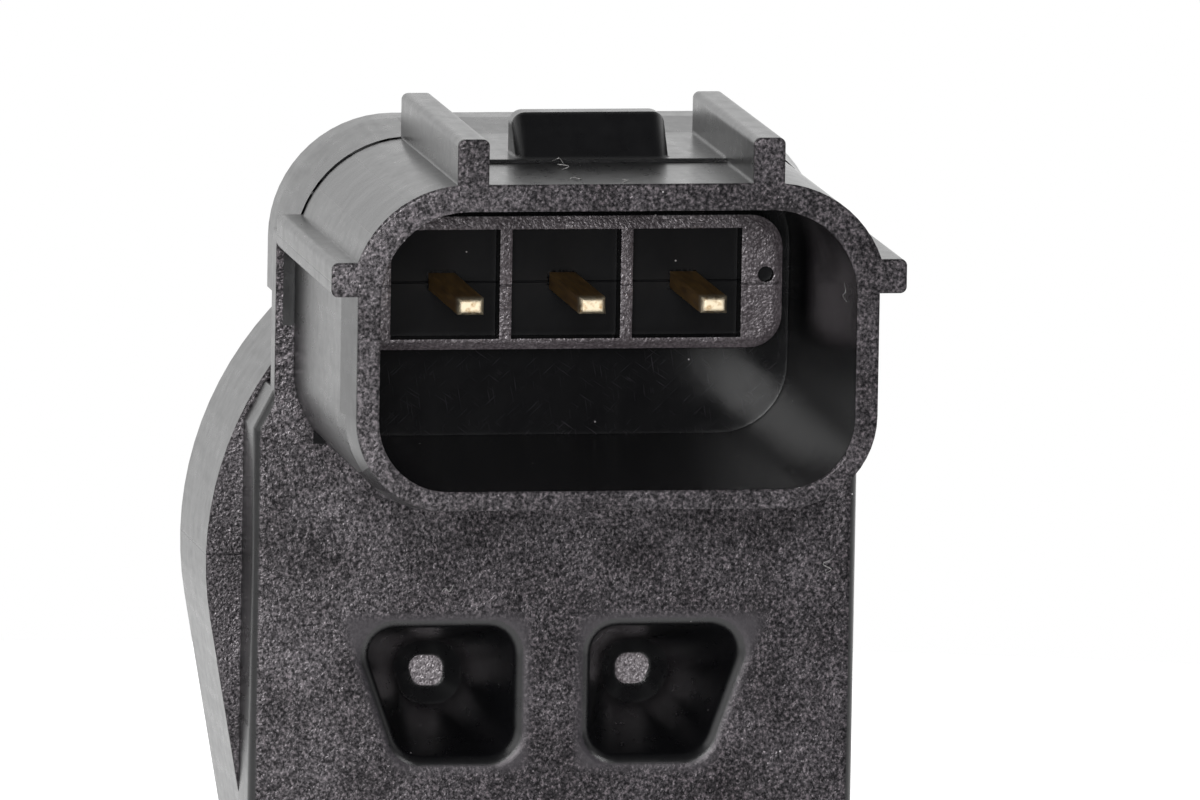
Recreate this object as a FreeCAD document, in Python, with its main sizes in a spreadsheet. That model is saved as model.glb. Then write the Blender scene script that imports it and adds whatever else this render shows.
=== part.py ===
"""Camshaft position sensor: moulded housing with a three-way socket, nose, bolt ear and sensing element.

Frame: origin on the nose axis in the plane of the mounting face, +Z up through the socket,
-Y out of the socket mouth, +Y along the nose. All lengths are in millimetres.
"""
import FreeCAD, Part
import math
import os

import Sketcher

DIMENSIONS = {
    # flange, bolt ear and body plate
    "flange_radius": 13.2,
    "flange_thickness": 6.6,
    "ear_distance": 24.0,
    "ear_radius": 9.0,
    "plate_width": 23.6,
    "plate_rise": 2.6,
    "plate_shoulder": 5.5,
    "plate_foot": -9.4,
    "plate_toe": -15.8,
    "plate_toe_width": 13.0,
    "plate_edge_radius": 0.4,
    "web_thickness": 1.0,
    "web_slope_rise": 1.5,
    # core-out pockets beside the nose
    "pocket_top": -2.25,
    "pocket_bottom": -7.45,
    "pocket_inner": 1.4,
    "pocket_outer_top": 7.75,
    "pocket_outer_bottom": 5.9,
    "pocket_depth": 5.6,
    "pocket_draft": 15.0,
    "pocket_corner": 1.1,
    "pocket_floor_bevel": 0.5,
    "pocket_rim_radius": 0.55,
    # connector hood
    "hood_width": 20.6,
    "hood_height": 12.74,
    "hood_centre": 10.37,
    "hood_length": 13.4,
    "hood_top_radius": 4.4,
    "hood_bottom_radius": 3.8,
    "hood_back": 4.6,
    "collar_step": 0.35,
    "collar_edge": 0.06,
    "collar_run": 3.2,
    "socket_depth": 14.5,
    "hood_side_wall": 1.16,
    "hood_level_wall": 1.03,
    "socket_top_radius": 3.3,
    "socket_bottom_radius": 2.7,
    "lead_in_step": 0.3,
    "lead_in_depth": 2.2,
    # ribs and latch outside the hood
    "top_rib_spacing": 11.34,
    "top_rib_width": 1.2,
    "top_rib_height": 1.73,
    "side_rib_reach": 0.73,
    "side_rib_height": 1.3,
    "side_rib_level": 13.15,
    "rib_edge_radius": 0.25,
    "latch_width": 5.9,
    "latch_setback": 6.0,
    "latch_ramp": 1.5,
    "latch_length": 2.4,
    "latch_height": 1.75,
    "latch_radius": 0.5,
    "saddle_height": 0.14,
    # pin block in the socket
    "block_width": 17.0,
    "block_height": 5.2,
    "block_rise": 2.6,
    "block_radius": 1.3,
    "block_edge_bevel": 0.4,
    "well_size": 4.24,
    "well_depth": 1.0,
    "vent_diameter": 0.62,
    "vent_depth": 0.4,
    "vent_offset": 3.07,
    # terminals
    "pin_pitch": 4.7,
    "pin_level": 11.25,
    "pin_width": 1.0,
    "pin_thickness": 0.64,
    "pin_reach": 7.0,
    "pin_tip_bevel": 0.12,
    "terminal_bend": 6.0,
    "terminal_bend_radius": 0.4,
    "terminal_inner_level": 2.2,
    "terminal_end": 10.2,
    "tab_length": 3.8,
    # nose and seal
    "nose_length": 20.0,
    "nose_radius": 8.7,
    "nose_tip_radius": 7.4,
    "nose_shoulder": 9.0,
    "nose_bevel": 0.8,
    "groove_start": 2.8,
    "groove_width": 2.8,
    "groove_radius": 7.0,
    "ring_section": 2.2,
    # bolt bushing
    "bushing_bore": 6.5,
    "bushing_wall": 1.6,
    "bushing_bevel": 0.3,
    # sensing element
    "carrier_radius": 6.0,
    "carrier_start": 1.6,
    "nose_end_wall": 0.8,
    "chip_width": 5.2,
    "chip_height": 4.4,
    "chip_thickness": 1.6,
    "lead_pitch": 1.27,
    "lead_width": 0.45,
    "lead_thickness": 0.4,
    "lead_overlap": 1.4,
    "magnet_width": 5.0,
    "magnet_height": 4.4,
    "magnet_length": 4.0,
    "capacitor_length": 2.0,
    "capacitor_width": 1.25,
    "capacitor_height": 0.9,
    "capacitor_gap": 0.35,
}

doc = FreeCAD.newDocument("camshaft_position_sensor")


def make_sheet():
    """Put every driving dimension in the sheet: its name in column A, its value in column B with an alias."""
    sheet = doc.addObject("Spreadsheet::Sheet", "dims")
    for row, (alias, value) in enumerate(DIMENSIONS.items(), start=1):
        sheet.set(f"A{row}", alias)
        sheet.set(f"B{row}", str(value))
        sheet.setAlias(f"B{row}", alias)
    doc.recompute()
    return sheet


SHEET = make_sheet()


def formula(text):
    """Turn the plain names of dimensions in a formula into references to the sheet."""
    words = text.replace("(", " ( ").replace(")", " ) ").split()
    named = " ".join(f"dims.{word}" if word in DIMENSIONS else word for word in words)
    return named.replace("sqrt (", "sqrt(")


def size(text):
    """The present value of a formula, as a number."""
    return float(SHEET.evalExpression(formula(text)))


def new_body(name):
    body = doc.addObject("PartDesign::Body", name)
    body.Label = name
    return body


def new_sketch(body, name, role, offset=None):
    """A sketch on one of the body's origin planes, moved along the plane's normal by a formula."""
    sketch = body.newObject("Sketcher::SketchObject", name)
    planes = [plane for plane in body.Origin.OriginFeatures if plane.Role == role]
    sketch.AttachmentSupport = [(planes[0], "")]
    sketch.MapMode = "FlatFace"
    if offset:
        sketch.setExpression("AttachmentOffset.Base.z", formula(offset))
    return sketch


def pin_point(sketch, geometry, point, across, up):
    """Hold one point of the sketch at two formulas measured from the sketch's origin."""
    for kind, text in (("DistanceX", across), ("DistanceY", up)):
        index = sketch.addConstraint(Sketcher.Constraint(kind, -1, 1, geometry, point, size(text)))
        sketch.setExpression(f"Constraints[{index}]", formula(text))


def polygon(sketch, corners):
    """A closed outline of straight lines through corners, each given as two formulas."""
    places = [FreeCAD.Vector(size(across), size(up), 0) for across, up in corners]
    count = len(places)
    lines = []
    for index in range(count):
        segment = Part.LineSegment(places[index], places[(index + 1) % count])
        lines.append(sketch.addGeometry(segment, False))
    for index in range(count):
        after = lines[(index + 1) % count]
        sketch.addConstraint(Sketcher.Constraint("Coincident", lines[index], 2, after, 1))
    for line, (across, up) in zip(lines, corners):
        pin_point(sketch, line, 1, across, up)


def rectangle(sketch, left, right, bottom, top):
    polygon(sketch, [(left, bottom), (right, bottom), (right, top), (left, top)])


def rounded_rectangle(sketch, half, bottom, top, low_radius, high_radius):
    """A rectangle, even about the upright axis, with one radius for its lower and one for its upper corners."""
    corners = [("", "( " + bottom + " ) + ", low_radius, -90),
               ("", "( " + top + " ) - ", high_radius, 0),
               ("0 - ", "( " + top + " ) - ", high_radius, 90),
               ("0 - ", "( " + bottom + " ) + ", low_radius, 180)]
    arcs = []
    for side, level, radius, start in corners:
        across = side + "( " + half + " - " + radius + " )"
        up = level + radius
        centre = FreeCAD.Vector(size(across), size(up), 0)
        ring = Part.Circle(centre, FreeCAD.Vector(0, 0, 1), size(radius))
        arc = sketch.addGeometry(Part.ArcOfCircle(ring, math.radians(start), math.radians(start + 90)), False)
        pin_point(sketch, arc, 3, across, up)
        index = sketch.addConstraint(Sketcher.Constraint("Radius", arc, size(radius)))
        sketch.setExpression(f"Constraints[{index}]", formula(radius))
        arcs.append(arc)
    for number, arc in enumerate(arcs):
        after = arcs[(number + 1) % len(arcs)]
        start_point = sketch.Geometry[arc].EndPoint
        end_point = sketch.Geometry[after].StartPoint
        line = sketch.addGeometry(Part.LineSegment(start_point, end_point), False)
        sketch.addConstraint(Sketcher.Constraint("Tangent", arc, 2, line, 1))
        sketch.addConstraint(Sketcher.Constraint("Tangent", line, 2, after, 1))


def circle(sketch, across, up, radius):
    centre = FreeCAD.Vector(size(across), size(up), 0)
    ring = sketch.addGeometry(Part.Circle(centre, FreeCAD.Vector(0, 0, 1), size(radius)), False)
    pin_point(sketch, ring, 3, across, up)
    index = sketch.addConstraint(Sketcher.Constraint("Radius", ring, size(radius)))
    sketch.setExpression(f"Constraints[{index}]", formula(radius))


def feature(body, kind, name, sketch, length, **settings):
    """A pad or pocket of a sketch by a formula; the recompute lets later features read its edges."""
    made = body.newObject(f"PartDesign::{kind}", name)
    made.Profile = sketch
    made.setExpression("Length", formula(length))
    for key, value in settings.items():
        setattr(made, key, value)
    doc.recompute()
    return made


def edges_where(shape, test):
    """Names of the shape's edges that pass a test on the edge."""
    return [f"Edge{number}" for number, edge in enumerate(shape.Edges, start=1) if test(edge)]


def fillet(body, name, test, radius):
    """Round the edges of the body that pass the test, by a formula."""
    base = body.Tip
    made = body.newObject("PartDesign::Fillet", name)
    made.Base = (base, edges_where(base.Shape, test))
    made.setExpression("Radius", formula(radius))
    doc.recompute()
    return made


def chamfer(body, name, test, width):
    """Bevel the edges of the body that pass the test, by a formula."""
    base = body.Tip
    made = body.newObject("PartDesign::Chamfer", name)
    made.Base = (base, edges_where(base.Shape, test))
    made.setExpression("Size", formula(width))
    doc.recompute()
    return made


def near(value, target):
    return abs(value - target) < 1e-4


def along(edge, axis):
    """True for a straight edge that runs along one of the axes X, Y or Z."""
    if not isinstance(edge.Curve, Part.Line):
        return False
    direction = edge.Curve.Direction
    return near(abs(getattr(direction, axis)), 1.0)


def in_plane(edge, axis, place):
    """True for an edge that lies whole in the plane where one coordinate has the given value."""
    low = getattr(edge.BoundBox, axis + "Min")
    high = getattr(edge.BoundBox, axis + "Max")
    return near(low, place) and near(high, place)


# Levels along the connector, counted outwards from the mounting face towards the mouth
PLATE_FRONT = "flange_thickness + plate_rise"
RIM = "flange_thickness + plate_rise + hood_length"
SOCKET_FLOOR = "flange_thickness + plate_rise + hood_length - socket_depth"
BLOCK_FRONT = "flange_thickness + plate_rise + hood_length - socket_depth + block_rise"
WELL_FLOOR = BLOCK_FRONT + " - well_depth"
HOOD_TOP = "hood_centre + hood_height / 2"
HOOD_BOTTOM = "hood_centre - hood_height / 2"

# The socket is the hood's outline less its walls
SOCKET_HALF = "hood_width / 2 - hood_side_wall"
SOCKET_TOP = HOOD_TOP + " - hood_level_wall"
SOCKET_BOTTOM = HOOD_BOTTOM + " + hood_level_wall"

# The side ribs and the web behind them reach equally far from the middle
WEB_HALF = "hood_width / 2 + side_rib_reach"


def add_hood(body):
    """The hood's outer block, from its back to the rim, with rounded corners."""
    sketch = new_sketch(body, "hood_outline", "XZ_Plane", "hood_back")
    rounded_rectangle(sketch, "hood_width / 2", HOOD_BOTTOM, HOOD_TOP, "hood_bottom_radius", "hood_top_radius")
    feature(body, "Pad", "hood", sketch, RIM + " - hood_back")


def add_collar(body):
    """A low collar round the hood where it leaves the plate, behind the ribs."""
    sketch = new_sketch(body, "collar_outline", "XZ_Plane", "hood_back")
    half = "hood_width / 2 + collar_step"
    rectangle(sketch, "0 - ( " + half + " )", half, "hood_centre", HOOD_TOP + " + collar_step")
    feature(body, "Pad", "collar", sketch, PLATE_FRONT + " - hood_back")
    edge_height = size(HOOD_TOP + " + collar_step")
    fillet(body, "collar_corners",
           lambda edge: along(edge, "y") and near(edge.CenterOfMass.z, edge_height),
           "hood_top_radius + collar_step")
    front = -size(PLATE_FRONT)
    base = body.Tip
    slope = body.newObject("PartDesign::Chamfer", "collar_slope")
    slope.Base = (base, edges_where(base.Shape, lambda edge: in_plane(edge, "Y", front)
                                    and near(edge.BoundBox.ZMin, edge_height)))
    slope.ChamferType = "Two distances"
    slope.setExpression("Size", formula("collar_step - collar_edge"))
    slope.setExpression("Size2", formula("collar_run"))
    doc.recompute()


def add_flange(body):
    """The flange disc, drawn in to the bolt ear by the two common tangents of their circles.

    A tangent touches both circles where the radius leans down by the angle whose sine is
    (flange_radius - ear_radius) / ear_distance. The right side is flat, flush with the plate.
    """
    lean = "( flange_radius - ear_radius ) / ear_distance"
    cosine = "sqrt ( 1 - ( " + lean + " ) ^ 2 )"
    disc = new_sketch(body, "flange_disc", "XZ_Plane")
    circle(disc, "0", "0", "flange_radius")
    feature(body, "Pad", "flange", disc, "flange_thickness")
    ear = new_sketch(body, "ear_disc", "XZ_Plane")
    circle(ear, "0", "0 - ear_distance", "ear_radius")
    feature(body, "Pad", "ear", ear, "flange_thickness")
    neck = new_sketch(body, "ear_neck", "XZ_Plane")
    disc_across = "flange_radius * " + cosine
    disc_up = "0 - flange_radius * " + lean
    ear_across = "ear_radius * " + cosine
    ear_up = "0 - ear_distance - ear_radius * " + lean
    polygon(neck, [("0 - " + disc_across, disc_up), ("0 - " + ear_across, ear_up),
                   (ear_across, ear_up), (disc_across, disc_up)])
    feature(body, "Pad", "neck", neck, "flange_thickness")
    flat = new_sketch(body, "flange_flat", "XZ_Plane", "flange_thickness")
    rectangle(flat, "plate_width / 2", "plate_width / 2 + flange_radius",
              "0 - ear_distance", "flange_radius")
    feature(body, "Pocket", "flat_side", flat, "flange_thickness")


def add_plate(body):
    """The raised body plate in front of the flange, and the thin web that carries the side ribs."""
    plate = new_sketch(body, "plate_outline", "XZ_Plane", "flange_thickness")
    half = "plate_width / 2"
    toe = "plate_toe_width / 2"
    polygon(plate, [("0 - " + half, "plate_shoulder"), ("0 - " + half, "plate_foot"),
                    ("0 - " + toe, "plate_toe"), (toe, "plate_toe"),
                    (half, "plate_foot"), (half, "plate_shoulder"),
                    (WEB_HALF, "plate_shoulder + web_slope_rise"),
                    ("0 - ( " + WEB_HALF + " )", "plate_shoulder + web_slope_rise")])
    feature(body, "Pad", "plate", plate, "plate_rise")
    web = new_sketch(body, "web_outline", "XZ_Plane", PLATE_FRONT + " - web_thickness")
    rectangle(web, "0 - ( " + WEB_HALF + " )", WEB_HALF, "plate_shoulder", "side_rib_level")
    feature(body, "Pad", "web", web, "web_thickness")
    front = -size(PLATE_FRONT)

    def outer_edge(edge):
        place = edge.CenterOfMass
        side = size(WEB_HALF) < abs(place.x) < size("flange_radius")
        toe = place.z < size("plate_foot") - 0.1
        return in_plane(edge, "Y", front) and ((side and place.z < size("plate_shoulder + web_slope_rise")) or toe)

    fillet(body, "plate_edges", outer_edge, "plate_edge_radius")


def add_ribs(body):
    """Two keying ribs on top of the hood and one on each side, from the plate to the rim."""
    top = new_sketch(body, "top_rib_outline", "XZ_Plane", PLATE_FRONT)
    inner = "( top_rib_spacing - top_rib_width ) / 2"
    outer = "( top_rib_spacing + top_rib_width ) / 2"
    root = SOCKET_TOP + " + lead_in_step"
    rectangle(top, "0 - " + outer, "0 - " + inner, root, HOOD_TOP + " + top_rib_height")
    rectangle(top, inner, outer, root, HOOD_TOP + " + top_rib_height")
    feature(body, "Pad", "top_ribs", top, "hood_length")
    side = new_sketch(body, "side_rib_outline", "XZ_Plane", PLATE_FRONT)
    inside = SOCKET_HALF + " + lead_in_step"
    low = "side_rib_level - side_rib_height / 2"
    high = "side_rib_level + side_rib_height / 2"
    rectangle(side, "0 - ( " + WEB_HALF + " )", "0 - ( " + inside + " )", low, high)
    rectangle(side, inside, WEB_HALF, low, high)
    feature(body, "Pad", "side_ribs", side, "hood_length")
    crest = size(HOOD_TOP + " + top_rib_height")
    reach = size(WEB_HALF)
    rim = -size(RIM)

    def rib_edge(edge):
        place = edge.CenterOfMass
        outside = near(place.z, crest) or near(abs(place.x), reach)
        return along(edge, "y") and near(edge.BoundBox.YMin, rim) and outside

    fillet(body, "rib_edges", rib_edge, "rib_edge_radius")


def add_latch(body):
    """The latch nose between the top ribs: a ramp that rises from the front, and a low saddle behind it."""
    saddle = new_sketch(body, "saddle_outline", "XZ_Plane", PLATE_FRONT)
    half = "top_rib_spacing / 2"
    rectangle(saddle, "0 - " + half, half, HOOD_TOP + " - saddle_height", HOOD_TOP + " + saddle_height")
    feature(body, "Pad", "saddle", saddle, "hood_length - latch_setback")
    profile = new_sketch(body, "latch_profile", "YZ_Plane")
    front = "latch_setback - ( " + RIM + " )"
    polygon(profile, [(front, HOOD_TOP),
                      (front + " + latch_length", HOOD_TOP),
                      (front + " + latch_length", HOOD_TOP + " + latch_height"),
                      (front + " + latch_ramp", HOOD_TOP + " + latch_height")])
    feature(body, "Pad", "latch", profile, "latch_width", Midplane=True)
    half_width = size("latch_width / 2")
    rear = size(front + " + latch_length")
    level = size(HOOD_TOP)

    def side_edge(edge):
        on_side = in_plane(edge, "X", half_width) or in_plane(edge, "X", -half_width)
        return on_side and edge.CenterOfMass.z > level + 0.2 and edge.BoundBox.YMin < rear - 0.1

    fillet(body, "latch_sides", side_edge, "latch_radius")


def add_nose(body):
    """The nose, turned about its own axis, with the seal groove, a shoulder and a bevelled tip."""
    profile = new_sketch(body, "nose_profile", "YZ_Plane")
    polygon(profile, [("0", "0"), ("0", "nose_radius"), ("groove_start", "nose_radius"),
                      ("groove_start", "groove_radius"), ("groove_start + groove_width", "groove_radius"),
                      ("groove_start + groove_width", "nose_radius"), ("nose_shoulder", "nose_radius"),
                      ("nose_shoulder + nose_radius - nose_tip_radius", "nose_tip_radius"),
                      ("nose_length - nose_bevel", "nose_tip_radius"),
                      ("nose_length", "nose_tip_radius - nose_bevel"), ("nose_length", "0")])
    nose = body.newObject("PartDesign::Revolution", "nose")
    nose.Profile = profile
    nose.ReferenceAxis = (profile, ["H_Axis"])
    nose.Angle = 360.0
    doc.recompute()


def cut_socket(body):
    """The socket inside the hood, with rounded corners and a tapered lead-in at the mouth."""
    outline = new_sketch(body, "socket_outline", "XZ_Plane", RIM)
    rounded_rectangle(outline, SOCKET_HALF, SOCKET_BOTTOM, SOCKET_TOP, "socket_bottom_radius", "socket_top_radius")
    feature(body, "Pocket", "socket", outline, "socket_depth")
    half_width = size(SOCKET_HALF)
    rim = -size(RIM)

    def mouth(edge):
        box = edge.BoundBox
        inside = max(abs(box.XMin), abs(box.XMax)) < half_width + 0.05
        return in_plane(edge, "Y", rim) and inside and box.ZMax < size(SOCKET_TOP) + 0.05

    base = body.Tip
    lead_in = body.newObject("PartDesign::Chamfer", "lead_in")
    lead_in.Base = (base, edges_where(base.Shape, mouth)[:1])
    lead_in.ChamferType = "Two distances"
    lead_in.setExpression("Size", formula("lead_in_step"))
    lead_in.setExpression("Size2", formula("lead_in_depth"))
    doc.recompute()


def add_block(body):
    """The pin block on the socket's floor, with one well round each pin and a small vent dimple."""
    outline = new_sketch(body, "block_outline", "XZ_Plane", SOCKET_FLOOR)
    half = "block_width / 2"
    low = "pin_level - block_height / 2"
    high = "pin_level + block_height / 2"
    rectangle(outline, "0 - " + half, half, low, high)
    feature(body, "Pad", "block", outline, "block_rise")
    front = -size(BLOCK_FRONT)
    floor = -size(SOCKET_FLOOR)
    half_width = size(half)

    def corner(edge):
        box = edge.BoundBox
        return along(edge, "y") and near(abs(edge.CenterOfMass.x), half_width) \
            and near(box.YMin, front) and near(box.YMax, floor)

    fillet(body, "block_corners", corner, "block_radius")
    chamfer(body, "block_edge", lambda edge: in_plane(edge, "Y", front), "block_edge_bevel")
    well = new_sketch(body, "well_outline", "XZ_Plane", BLOCK_FRONT)
    for step in ("0 - pin_pitch", "0", "pin_pitch"):
        rectangle(well, step + " - well_size / 2", step + " + well_size / 2",
                  "pin_level - well_size / 2", "pin_level + well_size / 2")
    feature(body, "Pocket", "wells", well, "well_depth")
    vent = new_sketch(body, "vent_circle", "XZ_Plane", BLOCK_FRONT)
    circle(vent, "pin_pitch + vent_offset", "pin_level + vent_diameter / 2", "vent_diameter / 2")
    feature(body, "Pocket", "vent", vent, "vent_depth")


def cut_pockets(body):
    """Two core-out pockets under the hood: slanted outer sides, drafted walls, rounded corners and rims."""
    outline = new_sketch(body, "pocket_outline", "XZ_Plane", PLATE_FRONT)
    for side in ("", "0 - "):
        polygon(outline, [(side + "pocket_inner", "pocket_bottom"), (side + "pocket_outer_bottom", "pocket_bottom"),
                          (side + "pocket_outer_top", "pocket_top"), (side + "pocket_inner", "pocket_top")])
    straight = feature(body, "Pocket", "pockets", outline, "pocket_depth")
    front = -size(PLATE_FRONT)
    floor = front + size("pocket_depth")

    def in_pocket(box):
        inside = box.ZMax < size("pocket_top") + 0.01 and box.ZMin > size("pocket_bottom") - 0.01
        return inside and max(abs(box.XMin), abs(box.XMax)) < size("pocket_outer_top") + 0.01

    faces = straight.Shape.Faces
    walls = [f"Face{number}" for number, face in enumerate(faces, start=1)
             if in_pocket(face.BoundBox) and near(face.BoundBox.YMin, front) and near(face.BoundBox.YMax, floor)]
    plates = [f"Face{number}" for number, face in enumerate(faces, start=1)
              if near(face.BoundBox.YMin, front) and near(face.BoundBox.YMax, front)
              and face.BoundBox.ZMin < size("pocket_bottom") and face.BoundBox.ZMax > size("pocket_top")]
    draft = body.newObject("PartDesign::Draft", "pocket_draft_faces")
    draft.Base = (straight, walls)
    draft.NeutralPlane = (straight, plates[:1])
    draft.Angle = size("pocket_draft")
    doc.recompute()
    draft.setExpression("Angle", formula("pocket_draft"))
    doc.recompute()

    def wall_edge(edge):
        box = edge.BoundBox
        return in_pocket(box) and near(box.YMin, front) and near(box.YMax, floor)

    def pocket_loop(edge, level):
        return in_pocket(edge.BoundBox) and in_plane(edge, "Y", level)

    fillet(body, "pocket_corners", wall_edge, "pocket_corner")
    chamfer(body, "pocket_floors", lambda edge: pocket_loop(edge, floor), "pocket_floor_bevel")
    fillet(body, "pocket_rims", lambda edge: pocket_loop(edge, front), "pocket_rim_radius")


def bore_ear(body):
    """The hole in the bolt ear that the steel bushing is moulded into."""
    hole = new_sketch(body, "bushing_hole", "XZ_Plane", "flange_thickness")
    circle(hole, "0", "0 - ear_distance", "bushing_bore / 2 + bushing_wall")
    feature(body, "Pocket", "bushing_seat", hole, "flange_thickness")


def make_moulding():
    body = new_body("moulding")
    add_hood(body)
    add_collar(body)
    add_flange(body)
    add_plate(body)
    add_ribs(body)
    add_latch(body)
    add_nose(body)
    cut_socket(body)
    add_block(body)
    cut_pockets(body)
    bore_ear(body)
    return body


def make_terminal(name, place, tab_side):
    """A stamped blade: pin, bend down behind the socket, run into the nose, and a weld tab at its end.

    tab_side is -1 or 1 for a tab that turns left or right towards the middle, and 0 for none.
    """
    body = new_body(name)
    profile = new_sketch(body, name + "_profile", "YZ_Plane", place)
    tip = "0 - ( " + WELL_FLOOR + " + pin_reach )"
    bend = "0 - terminal_bend"
    half = "pin_thickness / 2"
    polygon(profile, [(tip, "pin_level - " + half), (bend + " - " + half, "pin_level - " + half),
                      (bend + " - " + half, "terminal_inner_level - " + half),
                      ("terminal_end", "terminal_inner_level - " + half),
                      ("terminal_end", "terminal_inner_level + " + half),
                      (bend + " + " + half, "terminal_inner_level + " + half),
                      (bend + " + " + half, "pin_level + " + half), (tip, "pin_level + " + half)])
    feature(body, "Pad", name + "_blade", profile, "pin_width", Midplane=True)
    outer_y = size(bend + " + " + half)
    inner_y = size(bend + " - " + half)
    upper_z = size("pin_level + " + half)
    lower_z = size("terminal_inner_level - " + half)

    def outer_bend(edge):
        place_now = edge.CenterOfMass
        top = near(place_now.y, outer_y) and near(place_now.z, upper_z)
        return along(edge, "x") and (top or (near(place_now.y, inner_y) and near(place_now.z, lower_z)))

    def inner_bend(edge):
        place_now = edge.CenterOfMass
        top = near(place_now.y, inner_y) and near(place_now.z, size("pin_level - " + half))
        low = near(place_now.y, outer_y) and near(place_now.z, size("terminal_inner_level + " + half))
        return along(edge, "x") and (top or low)

    fillet(body, name + "_outer_bends", outer_bend, "terminal_bend_radius + pin_thickness")
    fillet(body, name + "_inner_bends", inner_bend, "terminal_bend_radius")
    if tab_side:
        tab = new_sketch(body, name + "_tab_outline", "XY_Plane", "terminal_inner_level - " + half)
        sign = "" if tab_side > 0 else "0 - "
        rectangle(tab, place, sign + "( lead_pitch - lead_width )", "terminal_end - tab_length", "terminal_end")
        feature(body, "Pad", name + "_tab", tab, "pin_thickness")
    tip_y = size(tip)
    chamfer(body, name + "_tip", lambda edge: in_plane(edge, "Y", tip_y), "pin_tip_bevel")
    return body


def make_block(name, left, right, front, back, bottom, top):
    """A plain block between six formulas: X from left to right, Y from front to back, Z from bottom to top."""
    body = new_body(name)
    sketch = new_sketch(body, name + "_outline", "XY_Plane", bottom)
    rectangle(sketch, left, right, front, back)
    feature(body, "Pad", name + "_pad", sketch, "( " + top + " ) - ( " + bottom + " )")
    return body


# Levels of the sensing element, from the nose tip inwards and from the weld tabs outwards
CHIP_FACE = "nose_length - nose_end_wall"
CHIP_BACK = CHIP_FACE + " - chip_thickness"
LEAD_LEVEL = "terminal_inner_level + pin_thickness / 2"
CAPACITOR_LEVEL = "terminal_inner_level - pin_thickness / 2"


def make_lead(name, place):
    """One leg of the chip: out of its upper side, bent back over the magnet and welded on its terminal."""
    body = new_body(name)
    profile = new_sketch(body, name + "_profile", "YZ_Plane", place)
    middle = CHIP_FACE + " - chip_thickness / 2"
    top = LEAD_LEVEL + " + lead_thickness"
    polygon(profile, [("terminal_end - lead_overlap", LEAD_LEVEL),
                      (middle + " - lead_thickness / 2", LEAD_LEVEL),
                      (middle + " - lead_thickness / 2", "chip_height / 2"),
                      (middle + " + lead_thickness / 2", "chip_height / 2"),
                      (middle + " + lead_thickness / 2", top),
                      ("terminal_end - lead_overlap", top)])
    feature(body, "Pad", name + "_strip", profile, "lead_width", Midplane=True)
    return body


def make_ring():
    """The sealing ring, seated on the bottom of the nose groove."""
    ring = doc.addObject("Part::Torus", "o_ring")
    ring.Label = "o_ring"
    ring.setExpression("Radius1", formula("groove_radius + ring_section / 2"))
    ring.setExpression("Radius2", formula("ring_section / 2"))
    ring.Placement = FreeCAD.Placement(FreeCAD.Vector(), FreeCAD.Rotation(FreeCAD.Vector(1, 0, 0), 90))
    ring.setExpression("Placement.Base.y", formula("groove_start + groove_width / 2"))
    return ring


def make_bushing():
    """The rolled steel compression limiter in the bolt ear, bevelled at both ends of its bore."""
    body = new_body("bolt_bushing")
    sketch = new_sketch(body, "bushing_ring", "XZ_Plane")
    circle(sketch, "0", "0 - ear_distance", "bushing_bore / 2 + bushing_wall")
    circle(sketch, "0", "0 - ear_distance", "bushing_bore / 2")
    feature(body, "Pad", "bushing_wall_pad", sketch, "flange_thickness")
    bore = size("bushing_bore / 2")
    chamfer(body, "bushing_bevels",
            lambda edge: isinstance(edge.Curve, Part.Circle) and near(edge.Curve.Radius, bore), "bushing_bevel")
    return body


def make_cylinder(name, radius, start, end):
    """A plain cylinder on the nose axis between two formulas along Y."""
    body = new_body(name)
    sketch = new_sketch(body, name + "_circle", "XZ_Plane", "0 - ( " + end + " )")
    circle(sketch, "0", "0", radius)
    feature(body, "Pad", name + "_pad", sketch, "( " + end + " ) - ( " + start + " )")
    return body


def cut_out(name, base, tools):
    """The base with the room for each tool taken out of it."""
    result = base
    for number, tool in enumerate(tools, start=1):
        cut = doc.addObject("Part::Cut", f"{name}_cut_{number}")
        cut.Base = result
        cut.Tool = tool
        result = cut
    result.Label = name
    doc.recompute()
    return result


def make_element():
    """The chip, its legs, the magnet and the capacitors."""
    half_chip = "chip_width / 2"
    chip = make_block("hall_ic", "0 - " + half_chip, half_chip, CHIP_BACK, CHIP_FACE,
                      "0 - chip_height / 2", "chip_height / 2")
    half_magnet = "magnet_width / 2"
    magnet = make_block("bias_magnet", "0 - " + half_magnet, half_magnet,
                        CHIP_BACK + " - magnet_length", CHIP_BACK, "0 - magnet_height / 2", "magnet_height / 2")
    legs = [make_lead("ic_lead_supply", "0 - lead_pitch"),
            make_lead("ic_lead_signal", "0"),
            make_lead("ic_lead_ground", "lead_pitch")]
    gap = "terminal_end - tab_length + capacitor_gap"
    near_end = gap + " + capacitor_width"
    bridge = "( lead_pitch - lead_width + pin_width / 2 ) / 2"
    bottom = CAPACITOR_LEVEL + " - capacitor_height"
    first = make_block("capacitor_supply", "0 - " + bridge + " - capacitor_length / 2",
                       "capacitor_length / 2 - " + bridge, gap, near_end, bottom, CAPACITOR_LEVEL)
    second = make_block("capacitor_signal", bridge + " - capacitor_length / 2",
                        bridge + " + capacitor_length / 2", near_end + " + capacitor_gap",
                        near_end + " + capacitor_gap + capacitor_width", bottom, CAPACITOR_LEVEL)
    return [chip, magnet, first, second] + legs


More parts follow.
